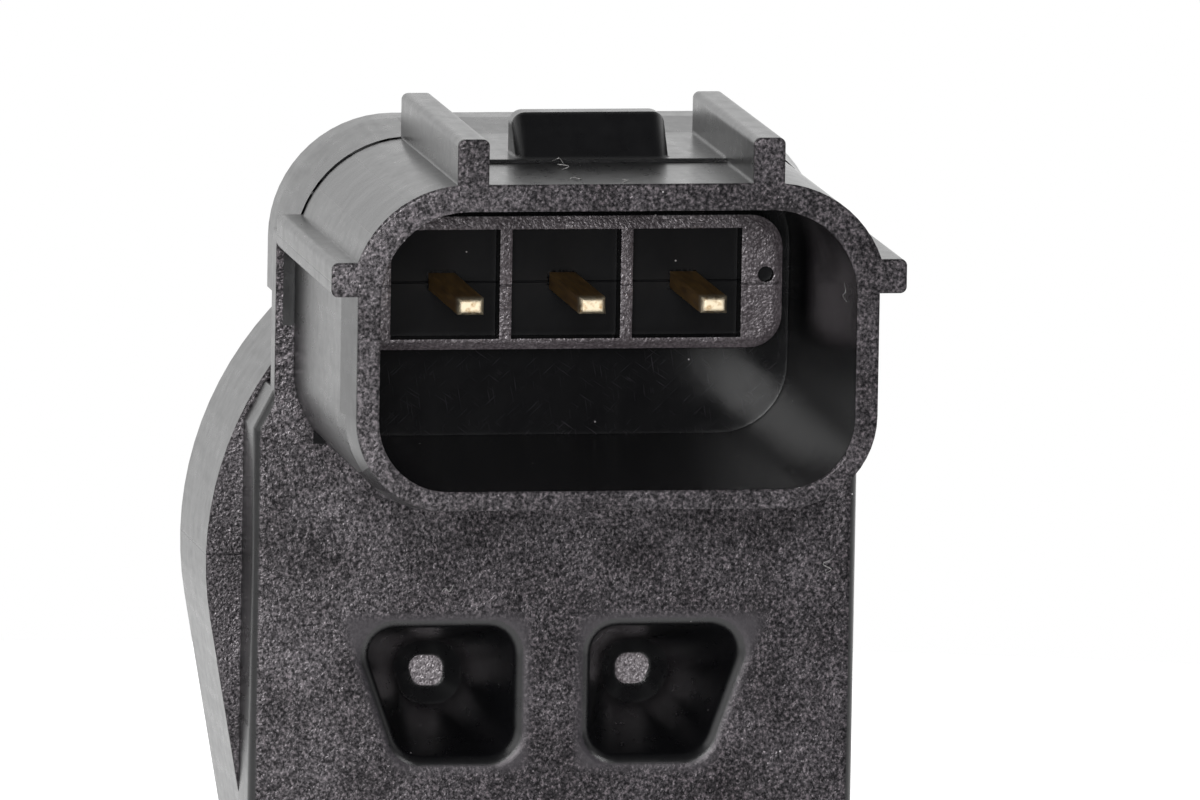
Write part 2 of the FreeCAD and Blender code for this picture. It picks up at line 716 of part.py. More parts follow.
def make_sensor():
    terminals = [make_terminal("terminal_supply", "0 - pin_pitch", -1),
                 make_terminal("terminal_signal", "0", 0),
                 make_terminal("terminal_ground", "pin_pitch", 1)]
    element = make_element()
    room = make_cylinder("nose_room", "carrier_radius", "carrier_start", CHIP_FACE)
    insert = make_cylinder("carrier_blank", "carrier_radius", "carrier_start", CHIP_FACE)
    carrier = cut_out("element_carrier", insert, terminals + element)
    housing = cut_out("housing", make_moulding(), [room] + terminals)
    return [housing, make_ring(), make_bushing(), carrier] + terminals + element


def check(parts):
    """Stop before anything is written if a feature failed or a piece is empty or not valid."""
    doc.recompute()
    failed = [item.Name for item in doc.Objects if {"Invalid", "Error"} & set(item.State)]
    if failed:
        raise RuntimeError("failed features: " + ", ".join(failed))
    for part in parts:
        if part.Shape.isNull() or not part.Shape.isValid():
            raise RuntimeError("not a valid solid: " + part.Label)


def write(parts):
    os.makedirs("parts", exist_ok=True)
    for part in parts:
        part.Shape.exportStep(f"parts/{part.Label}.step")
        print(part.Label, len(part.Shape.Solids), round(part.Shape.Volume, 2))


PARTS = make_sensor()
check(PARTS)
write(PARTS)
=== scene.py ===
"""Camshaft position sensor: finishes, moulding flash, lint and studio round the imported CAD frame."""
import math
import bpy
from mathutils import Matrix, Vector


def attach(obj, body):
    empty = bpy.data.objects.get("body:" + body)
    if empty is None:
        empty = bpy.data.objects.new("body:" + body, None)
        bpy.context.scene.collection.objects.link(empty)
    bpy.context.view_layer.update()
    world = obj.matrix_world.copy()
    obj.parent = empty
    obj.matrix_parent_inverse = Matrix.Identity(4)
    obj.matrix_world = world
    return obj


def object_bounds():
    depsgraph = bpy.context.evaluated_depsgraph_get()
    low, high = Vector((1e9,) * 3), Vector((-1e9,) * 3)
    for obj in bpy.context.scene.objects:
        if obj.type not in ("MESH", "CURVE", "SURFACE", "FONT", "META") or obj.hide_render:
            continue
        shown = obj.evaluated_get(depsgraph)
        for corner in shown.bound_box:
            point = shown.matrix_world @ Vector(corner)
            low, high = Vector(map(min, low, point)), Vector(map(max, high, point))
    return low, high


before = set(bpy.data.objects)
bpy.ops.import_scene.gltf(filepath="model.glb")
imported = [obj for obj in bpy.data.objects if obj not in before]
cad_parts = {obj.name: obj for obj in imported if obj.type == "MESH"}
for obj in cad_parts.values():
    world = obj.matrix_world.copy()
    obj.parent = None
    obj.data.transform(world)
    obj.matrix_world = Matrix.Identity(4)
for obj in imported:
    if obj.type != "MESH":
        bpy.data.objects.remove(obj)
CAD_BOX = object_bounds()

from types import SimpleNamespace

import bpy
import numpy as np
from bpy.props import FloatProperty, FloatVectorProperty, IntProperty, PointerProperty
from mathutils import Matrix, Vector

bl_info = {
    "name": "Camshaft position sensor",
    "version": (1, 0, 0),
    "blender": (4, 5, 0),
    "location": "3D View > Sidebar > Sensor",
    "description": "Dresses the moulded housing, terminals, seal and bushing of a camshaft position sensor",
    "category": "Object",
}

MM = 0.001
BODY = "root"

# Levels shared with the solids, in millimetres along Y: the mouth's rim, the plate's front, the block's front,
# the floor of the wells, the bottom of the socket and the tips of the pins
RIM_Y = -22.6
PLATE_Y = -9.2
BLOCK_Y = -10.7
WELL_Y = -9.7
SOCKET_Y = -8.1
PIN_TIP_Y = -16.7

# Pins, in millimetres: their height and pitch, half the blade's width and height, and its corners' radius
PIN_LEVEL = 11.25
PIN_PITCH = 4.7
PIN_HALF_WIDTH = 0.5
PIN_HALF_HEIGHT = 0.32
PIN_CORNER = 0.08

# Hood, in millimetres: its middle's height, and the half width and lowest height that its collar and latch lie in
HOOD_CENTRE = 10.37
COLLAR_SIDE = 10.75
COLLAR_LEVEL = 9.5

# The mouth's inner edge, in millimetres: half its width and height, and the radii of its lower and upper corners
MOUTH_HALF_WIDTH = 9.44
MOUTH_HALF_HEIGHT = 5.64
MOUTH_LOW_RADIUS = 3.0
MOUTH_HIGH_RADIUS = 3.6

# The socket, in millimetres: half its width, its lower and its upper limit
SOCKET_SIDE = 9.5
SOCKET_LOW = 4.9
SOCKET_HIGH = 16.1

# One pocket, in millimetres: half the web beside it, its top, its bottom, and how far out its outer side lies at
# Z = 0 and slopes with height
POCKET_INNER = 1.4
POCKET_TOP = -2.25
POCKET_LOW = -7.45
POCKET_OUTER = 8.55
POCKET_SLOPE = 0.356

# Stray fibres, in millimetres: start, run, sideways bend, and bend away from the surface
FIBRES = (((-1.6, -18.6, 16.77), (0.25, 0.9, 0.0), (0.22, 0.0, 0.0), (0.0, 0.0, 0.12)),
          ((-1.3, -17.2, 16.79), (-0.35, 0.5, 0.0), (0.0, 0.2, 0.0), (0.0, 0.0, 0.2)),
          ((-1.75, -21.3, 16.76), (0.5, 0.15, 0.0), (0.0, 0.25, 0.0), (0.0, 0.0, 0.05)),
          ((0.1, -22.2, 16.76), (0.3, 0.5, 0.0), (0.12, 0.0, 0.0), (0.0, 0.0, 0.06)),
          ((9.1, -20.6, 11.9), (0.0, 0.25, 0.65), (0.0, 0.35, 0.0), (-0.1, 0.0, 0.0)),
          ((10.6, -9.23, -0.3), (0.1, 0.0, 0.55), (0.18, 0.0, 0.0), (0.0, -0.06, 0.0)),
          ((-4.4, -9.23, -0.9), (0.45, 0.0, 0.2), (0.0, 0.0, 0.1), (0.0, -0.06, 0.0)))

# Round faces, in millimetres: the axis at X and Z, the least and greatest radius, and the signs of the quarter
ROUNDS = ((-5.9, 12.34, 4.3, 4.9, -1, 1), (5.9, 12.34, 4.3, 4.9, 1, 1), (-6.5, 7.8, 3.7, 3.9, -1, -1),
          (6.5, 7.8, 3.7, 3.9, 1, -1), (0.0, 0.0, 7.0, 13.3, 0, 0))

# Mould seams, in millimetres: level Z, then the range of X and of Y that each runs through
SEAMS = ((0.25, -13.3, -11.75, -6.7, 0.1),
         (13.05, -11.1, -10.9, -22.7, -9.2),
         (11.2, -8.4, 8.4, -10.8, -9.6))

# Wiping scratches in the socket: their slants in radians
SLANTS = (0.6, -0.75, 1.4)

# Pieces with one even finish: their names, the material, its dark and pale tone, the size of its spots in
# millimetres, the range of its roughness, how metallic it is, and the depth of its relief in millimetres
HARDWARE = (
    # rolled steel strip under a clear zinc passivate: pale grey with a faint mottle
    (("bolt_bushing",), "steel_rolled_zinc_plated", "#a9a69c", "#cdc9bd", 0.5, (0.22, 0.42), 1.0, 0.004),
    # nitrile rubber, moulded: soft black, slightly bloomed
    (("o_ring",), "nitrile_rubber_moulded", "#101011", "#1d1d1f", 0.4, (0.42, 0.6), 0.0, 0.006),
    # PBT carrier, moulded: even black
    (("element_carrier",), "pbt_carrier_moulded", "#131314", "#1f1f21", 0.6, (0.35, 0.5), 0.0, 0.006),
    # chip package, transfer-moulded epoxy: satin black
    (("hall_ic",), "epoxy_package_moulded", "#161618", "#222226", 0.15, (0.4, 0.55), 0.0, 0.004),
    # ferrite magnet, sintered: dark grey with fine pits
    (("bias_magnet",), "ferrite_sintered", "#2b2a2b", "#413f40", 0.2, (0.5, 0.7), 0.2, 0.01),
    # copper legs, tinned: pale bright grey, slightly uneven
    (("ic_lead_supply", "ic_lead_signal", "ic_lead_ground"), "copper_leg_tinned", "#a7a7a4", "#c9c8c3",
     0.3, (0.25, 0.45), 1.0, 0.003),
    # chip capacitors, fired ceramic: even tan with a satin face
    (("capacitor_supply", "capacitor_signal"), "ceramic_fired", "#8a6a4a", "#a5835f", 0.2, (0.35, 0.5), 0.0, 0.003),
)

# Lamps: place and side in metres and power in watts, and the point in metres that they all face
LAMPS = {"softbox_left": ((-0.80, -0.45, 0.35), 0.90, 4.0),
         "softbox_right": ((0.45, -0.60, 0.45), 0.25, 1.5),
         "front_fill": ((-0.16, -0.85, 0.16), 0.28, 5.0)}
LAMP_AIM = (0.0, -0.015, 0.005)

# Floor: the radii of its rings in millimetres, the points in a ring, and the light added where it is seen directly
FLOOR_RADII = (0.01, 60.0, 120.0, 180.0)
FLOOR_SIDES = 96
FLOOR_LIFT = 0.75

# Camera: film width in millimetres, picture width in pixels, and the pixels that the picture's middle lies to the
# left of the nose's axis and above it, at the rim
FILM_WIDTH = 36.0
PICTURE_WIDTH = 1200.0
ASIDE_PIXELS = 14.2
RISE_PIXELS = 222.0


# Helpers


def linear(code):
    """An sRGB hex code such as "#1a181c" as linear red, green, blue and alpha."""
    parts = [int(code[place:place + 2], 16) / 255 for place in (1, 3, 5)]
    return tuple(c / 12.92 if c <= 0.04045 else ((c + 0.055) / 1.055) ** 2.4 for c in parts) + (1.0,)


def add(tree, kind, inputs=(), **settings):
    """Add one node: settings go on the node, inputs is a list of (socket, value or output socket to link)."""
    node = tree.nodes.new(kind)
    for key, value in settings.items():
        setattr(node, key, value)
    for socket, value in inputs:
        if isinstance(value, bpy.types.NodeSocket):
            tree.links.new(value, node.inputs[socket])
        else:
            node.inputs[socket].default_value = value
    return node


def new_material(name):
    """A material with a bare Principled surface: returns the material, its tree and the shader."""
    material = bpy.data.materials.new(name)
    material.use_nodes = True
    tree = material.node_tree
    tree.nodes.clear()
    shader = add(tree, "ShaderNodeBsdfPrincipled")
    add(tree, "ShaderNodeOutputMaterial", [("Surface", shader.outputs["BSDF"])])
    return material, tree, shader


def dress(node_name, material):
    """Give a CAD node one material in every slot."""
    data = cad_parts[node_name].data
    if not data.materials:
        data.materials.append(material)
    for index in range(len(data.materials)):
        data.materials[index] = material


def grid_quads(rows, columns, close_rows, close_columns):
    """The quads (faces, 4) that join a grid of points, numbered row by row, to their neighbours."""
    row_ends = np.arange(rows if close_rows else rows - 1)
    column_ends = np.arange(columns if close_columns else columns - 1)
    r, c = np.meshgrid(row_ends, column_ends, indexing="ij")
    r_next = (r + 1) % rows
    c_next = (c + 1) % columns
    corners = [r * columns + c, r * columns + c_next, r_next * columns + c_next, r_next * columns + c]
    return np.stack(corners, axis=-1).reshape(-1, 4)


def grid_piece(name, points, close_rows, close_columns, material):
    """A named object from a grid of points (rows, columns, 3) in millimetres, riding on the body.

    Quads join the points into a sheet or a tube, and are turned round if its volume comes out below 0.
    """
    quads = grid_quads(*points.shape[:2], close_rows, close_columns)
    points = points.reshape(-1, 3)
    corner = [points[quads[:, place]] for place in range(4)]
    first = np.cross(corner[1], corner[2])
    second = np.cross(corner[2], corner[3])
    if np.sum(corner[0] * (first + second)) < 0:
        quads = quads[:, ::-1]
    mesh = bpy.data.meshes.new(name)
    mesh.from_pydata((points * MM).tolist(), [], quads.tolist())
    mesh.validate()
    mesh.polygons.foreach_set("use_smooth", np.ones(len(mesh.polygons), dtype=bool))
    mesh.materials.append(material)
    mesh.update()
    piece = bpy.data.objects.new(name, mesh)
    bpy.context.collection.objects.link(piece)
    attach(piece, BODY)


def smooth_noise(count, seed, highest):
    """A repeating wavy row of numbers from 0 to 1: a sum of sines with whole-number frequencies and seeded phases."""
    sines = 14
    draw = np.random.default_rng(seed)
    turn = np.linspace(0, 2 * np.pi, count, endpoint=False)
    frequency = draw.integers(1, highest, size=sines)
    phase = draw.uniform(0, 2 * np.pi, size=sines)
    total = np.sin(turn[:, None] * frequency + phase).sum(axis=1)
    return (total - total.min()) / (total.max() - total.min())


def rounded_loop(half_width, low, high, low_radius, high_radius, count):
    """Points round a rectangle with rounded corners, evenly spaced, and their outward directions, both (count, 2).

    Quarter circles at the corners follow straight sides; the whole is sampled by its running length.
    """
    corners = [(half_width - low_radius, low + low_radius, low_radius, -90),
               (half_width - high_radius, high - high_radius, high_radius, 0),
               (-half_width + high_radius, high - high_radius, high_radius, 90),
               (-half_width + low_radius, low + low_radius, low_radius, 180)]
    arcs = []
    normals = []
    for across, up, radius, start in corners:
        angle = np.radians(np.linspace(start, start + 90, 40))
        direction = np.stack([np.cos(angle), np.sin(angle)], axis=1)
        arcs.append(np.array([across, up]) + radius * direction)
        normals.append(direction)
    points = np.concatenate(arcs + [arcs[0][:1]])
    ways = np.concatenate(normals + [normals[0][:1]])
    run = np.concatenate([[0], np.cumsum(np.linalg.norm(np.diff(points, axis=0), axis=1))])
    step = np.linspace(0, run[-1], count, endpoint=False)
    place = np.stack([np.interp(step, run, points[:, axis]) for axis in (0, 1)], axis=1)
    way = np.stack([np.interp(step, run, ways[:, axis]) for axis in (0, 1)], axis=1)
    return place, way / np.linalg.norm(way, axis=1, keepdims=True)


def closed_ends(rings):
    """The rings with one more ring at each end, drawn together to the end ring's middle, so that the tube is shut."""
    first = np.broadcast_to(rings[:1].mean(axis=1, keepdims=True), rings[:1].shape)
    last = np.broadcast_to(rings[-1:].mean(axis=1, keepdims=True), rings[-1:].shape)
    return np.concatenate([first, rings, last])


def tube(path, radius, sides):
    """A round tube carried along a path (n, 3): rings of points in the plane across the path's direction.

    radius gives each ring's own.
    """
    along = np.gradient(path, axis=0)
    along /= np.linalg.norm(along, axis=1, keepdims=True)
    side = np.cross(along, np.array([0.31, 0.17, 0.93]))
    side /= np.linalg.norm(side, axis=1, keepdims=True)
    up = np.cross(side, along)
    turn = np.linspace(0, 2 * np.pi, sides, endpoint=False)
    ring = np.cos(turn)[None, :, None] * side[:, None, :] + np.sin(turn)[None, :, None] * up[:, None, :]
    return path[:, None, :] + radius[:, None, None] * ring


def carried(profile, loop, way, across, level, up):
    """A profile carried round a flat loop: (points round, corners, 3) in millimetres.

    Each corner of the profile lies a shift along the loop's outward way and a depth along Y from the level.
    """
    rows = [np.stack([across + loop[:, 0] + way[:, 0] * shift, level + depth, up + loop[:, 1] + way[:, 1] * shift],
                     axis=1) for shift, depth in profile]
    return np.stack(rows, axis=1)


# Finishes


def zone(tree, place, tests, *masks):
    """A mask: the product of the masks given, and 0 where any test fails.

    A test names a coordinate of place, the side of a limit that counts, "<" or ">", and the limit in millimetres.
    """
    parts = list(masks)
    for axis, side, limit in tests:
        test = add(tree, "ShaderNodeMath", [(0, place[axis]), (1, limit * MM)],
                   operation="LESS_THAN" if side == "<" else "GREATER_THAN")
        parts.append(test.outputs[0])
    mask = parts[0]
    for part in parts[1:]:
        mask = add(tree, "ShaderNodeMath", [(0, mask), (1, part)], operation="MULTIPLY").outputs[0]
    return mask


def round_face(tree, here, facing, normal, face, step):
    """The normal of a true round face about an axis along Y: straight away from the axis.

    face gives the axis at X and Z, the least and greatest radius in millimetres, and the signs of the quarter that
    the face lies in, 0 for all round. step marks small ledges that are shaded with the round face.
    """
    across, up, low, high, side, top = face
    spoke = add(tree, "ShaderNodeVectorMath", [(0, here), (1, (across * MM, 0.0, up * MM))], operation="SUBTRACT")
    spoke = add(tree, "ShaderNodeVectorMath", [(0, spoke.outputs[0]), (1, (1.0, 0.0, 1.0))],
                operation="MULTIPLY").outputs[0]
    outward = add(tree, "ShaderNodeVectorMath", [(0, spoke)], operation="NORMALIZE").outputs[0]
    along = add(tree, "ShaderNodeVectorMath", [(0, outward), (1, facing)], operation="DOT_PRODUCT").outputs["Value"]
    mask = add(tree, "ShaderNodeMapRange", [("Value", along), ("From Min", 0.80), ("From Max", 0.86)]).outputs[0]
    if top > 0:
        mask = add(tree, "ShaderNodeMath", [(0, mask), (1, step)], operation="MAXIMUM").outputs[0]
    radius = add(tree, "ShaderNodeVectorMath", [(0, spoke)], operation="LENGTH").outputs["Value"]
    ways = add(tree, "ShaderNodeSeparateXYZ", [("Vector", spoke)]).outputs
    tests = [("radius", ">", low), ("radius", "<", high)]
    if side:
        tests += [("X", ">" if side > 0 else "<", 0.0), ("Z", ">" if top > 0 else "<", 0.0)]
    mask = zone(tree, {"radius": radius, "X": ways["X"], "Z": ways["Z"]}, tests, mask)
    mixed = add(tree, "ShaderNodeMix", [("Factor", mask), ("A", normal), ("B", outward)], data_type="VECTOR")
    return mixed.outputs["Result"]


def moulded_zones(tree, place, facing_y):
    """The housing's surfaces as masks, from where a point lies and how far its face turns towards the mouth."""
    front = add(tree, "ShaderNodeMapRange", [("Value", facing_y), ("From Min", -0.90), ("From Max", -0.97)])
    # the socket's inside, walls and floor, is polished glossier than the outside
    inside = zone(tree, place, (("Z", ">", SOCKET_LOW), ("across", "<", SOCKET_SIDE), ("Z", "<", SOCKET_HIGH),
                                ("Y", "<", SOCKET_Y + 0.1)))
    # the polished floor of the socket and wells lies behind the block's front and within the socket
    polished = zone(tree, place, (("Y", ">", BLOCK_Y + 0.37), ("Z", ">", SOCKET_LOW), ("across", "<", SOCKET_SIDE)))
    # the block's bevelled edge is eroded too, though it leans away from the front
    block = zone(tree, place, (("Y", ">", BLOCK_Y - 0.1),), inside)
    leaning = add(tree, "ShaderNodeMapRange", [("Value", facing_y), ("From Min", -0.55), ("From Max", -0.68)])
    leaning = zone(tree, place, (), leaning.outputs[0], block)
    front = add(tree, "ShaderNodeMath", [(0, front.outputs[0]), (1, leaning)], operation="MAXIMUM").outputs[0]
    # the collar's step and the latch, outside the hood and behind its rim, stay polished
    behind_rim = zone(tree, place, (("Y", ">", RIM_Y + 0.8),))
    outside = add(tree, "ShaderNodeMath", [(0, 1.0), (1, inside)], operation="SUBTRACT").outputs[0]
    bare = zone(tree, place, (("Z", ">", COLLAR_LEVEL), ("across", "<", COLLAR_SIDE)), behind_rim, outside)
    eroded = [add(tree, "ShaderNodeMath", [(0, 1.0), (1, smooth)], operation="SUBTRACT").outputs[0]
              for smooth in (polished, bare)]
    grain = zone(tree, place, (), front, *eroded)
    # the socket's bottom, and the wells round the pins in front of it
    bottom = zone(tree, place, (("Y", ">", SOCKET_Y - 0.3),), front, polished)
    well = zone(tree, place, (("Y", "<", SOCKET_Y - 0.3),), block, front)

    # distance outside the pocket's four sides, in metres, with rounded corners
    slope = add(tree, "ShaderNodeMath", [(0, place["Z"]), (1, POCKET_SLOPE), (2, POCKET_OUTER * MM)],
                operation="MULTIPLY_ADD").outputs[0]
    away = None
    for beyond, edge in ((place["across"], slope), (POCKET_INNER * MM, place["across"]),
                         (place["Z"], POCKET_TOP * MM), (POCKET_LOW * MM, place["Z"])):
        past = add(tree, "ShaderNodeMath", [(0, beyond), (1, edge)], operation="SUBTRACT").outputs[0]
        away = past if away is None else add(tree, "ShaderNodeMath", [(0, away), (1, past), (2, 1.0 * MM)],
                                             operation="SMOOTH_MAX").outputs[0]
    # a smooth band 0.6 mm wide runs round each pocket, and the pockets' ends lie deep
    band = add(tree, "ShaderNodeMapRange", [("Value", away), ("From Min", 0.75 * MM), ("From Max", 0.10 * MM)],
               interpolation_type="SMOOTHSTEP").outputs[0]
    band = zone(tree, place, (("Y", "<", PLATE_Y + 0.6),), band)
    core = zone(tree, {"away": away, "Y": place["Y"]}, (("away", "<", 0.0), ("Y", ">", PLATE_Y + 4.5)))
    return SimpleNamespace(inside=inside, block=block, leaning=leaning, behind_rim=behind_rim, grain=grain,
                           bottom=bottom, well=well, band=band, core=core)


def seam_lines(tree, place):
    """A mask of the mould seams: fine lines where the tool halves meet, each within its own range of X and Y."""
    seams = None
    for level, low_x, high_x, low_y, high_y in SEAMS:
        off = add(tree, "ShaderNodeMath", [(0, place["Z"]), (1, level * MM)], operation="SUBTRACT")
        off = add(tree, "ShaderNodeMath", [(0, off.outputs[0])], operation="ABSOLUTE")
        line = add(tree, "ShaderNodeMapRange", [("Value", off.outputs[0]), ("From Min", 0.04 * MM),
                                                ("From Max", 0.01 * MM)])
        line = zone(tree, place, (("X", ">", low_x), ("X", "<", high_x), ("Y", ">", low_y), ("Y", "<", high_y)),
                    line.outputs[0])
        seams = line if seams is None else add(tree, "ShaderNodeMath", [(0, seams), (1, line)],
                                               operation="MAXIMUM").outputs[0]
    return seams


def wiping_scratches(tree, here, place, bottom):
    """A mask of scratches on the socket's bottom: drawn-out noise at several slants, 0.06 mm wide."""
    marks = None
    for slant in SLANTS:
        turned = add(tree, "ShaderNodeMapping", [("Vector", here), ("Rotation", (0.0, slant, 0.0)),
                                                 ("Scale", (18.0, 1.0, 1.0))], vector_type="TEXTURE")
        hair = add(tree, "ShaderNodeTexNoise", [("Vector", turned.outputs[0]), ("Scale", 1 / (0.06 * MM)),
                                                ("Detail", 0.0)])
        hair = add(tree, "ShaderNodeMapRange", [("Value", hair.outputs["Fac"]), ("From Min", 0.72),
                                                ("From Max", 0.86)])
        hair = zone(tree, place, (), hair.outputs[0], bottom)
        marks = hair if marks is None else add(tree, "ShaderNodeMath", [(0, marks), (1, hair)],
                                               operation="MAXIMUM").outputs[0]
    return marks


def pbt_moulded(finish):
    """Glass-filled PBT, injection moulded in black.

    The eye sees two surfaces: spark-eroded faces towards the mouth, matt purplish grey with fine glints, some of them
    painted highlight, and draw-polished sides that mirror the white surroundings softly, with faint drag lines along
    the draw.
    """
    material, tree, shader = new_material("pbt_glass_filled_moulded_black")
    here = add(tree, "ShaderNodeTexCoord").outputs["Object"]
    split = add(tree, "ShaderNodeSeparateXYZ", [("Vector", here)]).outputs
    place = {axis: split[axis] for axis in "XYZ"}
    place["across"] = add(tree, "ShaderNodeMath", [(0, split["X"])], operation="ABSOLUTE").outputs[0]
    facing = add(tree, "ShaderNodeNewGeometry").outputs["True Normal"]
    facing_y = add(tree, "ShaderNodeSeparateXYZ", [("Vector", facing)]).outputs["Y"]
    on = moulded_zones(tree, place, facing_y)
    seams = seam_lines(tree, place)
    marks = wiping_scratches(tree, here, place, on.bottom)

    # spark-eroded grain: craters about 0.3 mm across with finer ones of 0.08 mm in them
    coarse = add(tree, "ShaderNodeTexNoise", [("Vector", here), ("Scale", 1 / (0.30 * MM)), ("Detail", 2.0),
                                              ("Roughness", 0.6)])
    fine = add(tree, "ShaderNodeTexNoise", [("Vector", here), ("Scale", 1 / (0.08 * MM)), ("Detail", 1.0)])
    craters = add(tree, "ShaderNodeMath", [(0, fine.outputs["Fac"]), (1, 0.45), (2, coarse.outputs["Fac"])],
                  operation="MULTIPLY_ADD").outputs[0]
    # crater lips, 0.12 mm across: the highest carry painted glints, a pale highlight colour drawn this wide so that
    # they show in the render, on top of the glints from the relief and the lamps
    lips = add(tree, "ShaderNodeTexNoise", [("Vector", here), ("Scale", 1 / (0.12 * MM)), ("Detail", 2.0),
                                            ("Roughness", 0.6)]).outputs["Fac"]
    # drag lines: noise drawn out along the draw direction, 0.4 mm across
    drawn = add(tree, "ShaderNodeMapping", [("Vector", here), ("Scale", (1.0, 0.06, 1.0))])
    drag = add(tree, "ShaderNodeTexNoise", [("Vector", drawn.outputs[0]), ("Scale", 1 / (0.4 * MM)),
                                            ("Detail", 3.0)]).outputs["Fac"]
    # slow sinks of 1.6 mm, clouds of 2.5 mm and a thin film in patches of 0.7 mm
    ripple = add(tree, "ShaderNodeTexNoise", [("Vector", here), ("Scale", 1 / (1.6 * MM)), ("Detail", 2.0)])
    cloud = add(tree, "ShaderNodeTexNoise", [("Vector", here), ("Scale", 1 / (2.5 * MM)),
                                             ("Detail", 4.0)]).outputs["Fac"]
    film = add(tree, "ShaderNodeTexNoise", [("Vector", here), ("Scale", 1 / (0.7 * MM)), ("Detail", 6.0),
                                            ("Roughness", 0.65)])
    # settled dust: pale specks in cells of 0.9 mm, only some of which hold one
    cells = add(tree, "ShaderNodeTexVoronoi", [("Vector", here), ("Scale", 1 / (0.9 * MM))]).outputs
    spot = add(tree, "ShaderNodeMapRange", [("Value", cells["Distance"]), ("From Min", 0.05), ("From Max", 0.02)])
    chance = add(tree, "ShaderNodeSeparateColor", [("Color", cells["Color"])]).outputs["Red"]
    chosen = add(tree, "ShaderNodeMath", [(0, chance), (1, 0.72)], operation="GREATER_THAN")
    speck = zone(tree, place, (), spot.outputs[0], chosen.outputs[0])

    # the grain is shallow in the band round the pockets, and half as deep on the rim
    relief = add(tree, "ShaderNodeMath", [(0, on.band), (1, -0.8), (2, 1.0)], operation="MULTIPLY_ADD")
    relief = zone(tree, place, (), relief.outputs[0], on.grain)
    rim = add(tree, "ShaderNodeMath", [(0, on.behind_rim), (1, 0.5), (2, 0.5)], operation="MULTIPLY_ADD")
    depth = zone(tree, place, (), relief, rim.outputs[0])
    rounded = add(tree, "ShaderNodeBevel", [("Radius", finish.edge_radius)], samples=4)
    # the block's edge is worn round, so most of it catches the light of the front
    eased = add(tree, "ShaderNodeMath", [(0, on.leaning), (1, 0.75)], operation="MULTIPLY")
    rounded = add(tree, "ShaderNodeMix", [("Factor", eased.outputs[0]), ("A", rounded.outputs[0]),
                                          ("B", (0.0, -1.0, 0.0))], data_type="VECTOR").outputs["Result"]
    # the hood's corners, the flange and the nose are true curves
    ahead = add(tree, "ShaderNodeMath", [(0, facing_y), (1, -0.9)], operation="LESS_THAN").outputs[0]
    ledge = zone(tree, place, (("Y", ">", PLATE_Y - 0.3),), ahead)
    for face in ROUNDS:
        rounded = round_face(tree, here, facing, rounded, face, ledge)
    normal = add(tree, "ShaderNodeVectorMath", [(0, rounded)], operation="NORMALIZE").outputs[0]
    # slow sinks, drag lines, craters and sunken seams, each on the last: strength, depth, height and which are sunk
    for strength, deep, height, invert in ((0.7, 0.03 * MM, ripple.outputs["Fac"], False),
                                           (0.5, 0.004 * MM, drag, False),
                                           (depth, finish.grain_depth, craters, False),
                                           (1.0, 0.03 * MM, seams, True)):
        normal = add(tree, "ShaderNodeBump", [("Strength", strength), ("Distance", deep), ("Height", height),
                                              ("Normal", normal)], invert=invert).outputs[0]
    tree.links.new(normal, shader.inputs["Normal"])

    patch = add(tree, "ShaderNodeMapRange", [("Value", cloud), ("From Min", 0.35), ("From Max", 0.65)]).outputs[0]
    # painted shade: where the crater-lip noise is lowest, standing for the pits, the grain is darkened to the
    # polished black
    painted_pit_shade = add(tree, "ShaderNodeMapRange", [("Value", lips), ("From Min", 0.36), ("From Max", 0.52)]).outputs[0]
    # painted highlight: the highest crater lips take the pale glint colour
    glint = add(tree, "ShaderNodeMapRange", [("Value", lips), ("From Min", 0.56), ("From Max", 0.72)]).outputs[0]
    # the pockets' ends and the pin block are the palest patches: painted highlight, a pale colour standing in for the
    # light they catch
    pale = add(tree, "ShaderNodeMath", [(0, on.block), (1, on.core)], operation="MAXIMUM")
    pale = add(tree, "ShaderNodeMath", [(0, pale.outputs[0]), (1, 0.4)], operation="MULTIPLY").outputs[0]
    faint = add(tree, "ShaderNodeMath", [(0, seams), (1, 0.6)], operation="MULTIPLY").outputs[0]
    # colours from the ground up: each mask lays one colour over another, and None stands for all laid so far
    colour = None
    for mask, under, over in ((patch, finish.grain_dark, finish.grain_pale), (painted_pit_shade, finish.smooth_black, None),
                              (glint, None, finish.painted_grain_glint), (pale, None, finish.painted_highlight),
                              (on.band, None, finish.band), (on.grain, finish.smooth_black, None),
                              (marks, None, finish.scratch), (faint, None, finish.smooth_black),
                              (speck, None, finish.dust)):
        colour = add(tree, "ShaderNodeMix", [("Factor", mask), ("A", colour if under is None else under[:]),
                                             ("B", colour if over is None else over[:])],
                     data_type="RGBA").outputs["Result"]
    tree.links.new(colour, shader.inputs["Base Color"])

    film = add(tree, "ShaderNodeMapRange", [("Value", film.outputs["Fac"]), ("From Min", 0.4), ("From Max", 0.7),
                                            ("To Max", 0.05)])
    gloss = add(tree, "ShaderNodeMapRange", [("Value", drag), ("To Min", 0.24), ("To Max", 0.31)])
    gloss = add(tree, "ShaderNodeMath", [(0, gloss.outputs[0]), (1, film.outputs[0])], operation="ADD").outputs[0]
    # the wells round the pins are matt, so they mirror nothing
    well_roughness = 0.45
    for mask, roughness in ((on.inside, finish.socket_roughness), (on.well, well_roughness),
                            (on.grain, finish.grain_roughness)):
        gloss = add(tree, "ShaderNodeMix", [("Factor", mask), ("A", gloss), ("B", roughness)]).outputs["Result"]
    tree.links.new(gloss, shader.inputs["Roughness"])

    # the craters' depths send little light back
    lit = add(tree, "ShaderNodeMapRange", [("Value", lips), ("From Min", 0.36), ("From Max", 0.62),
                                           ("To Min", 0.12), ("To Max", 0.65)]).outputs[0]
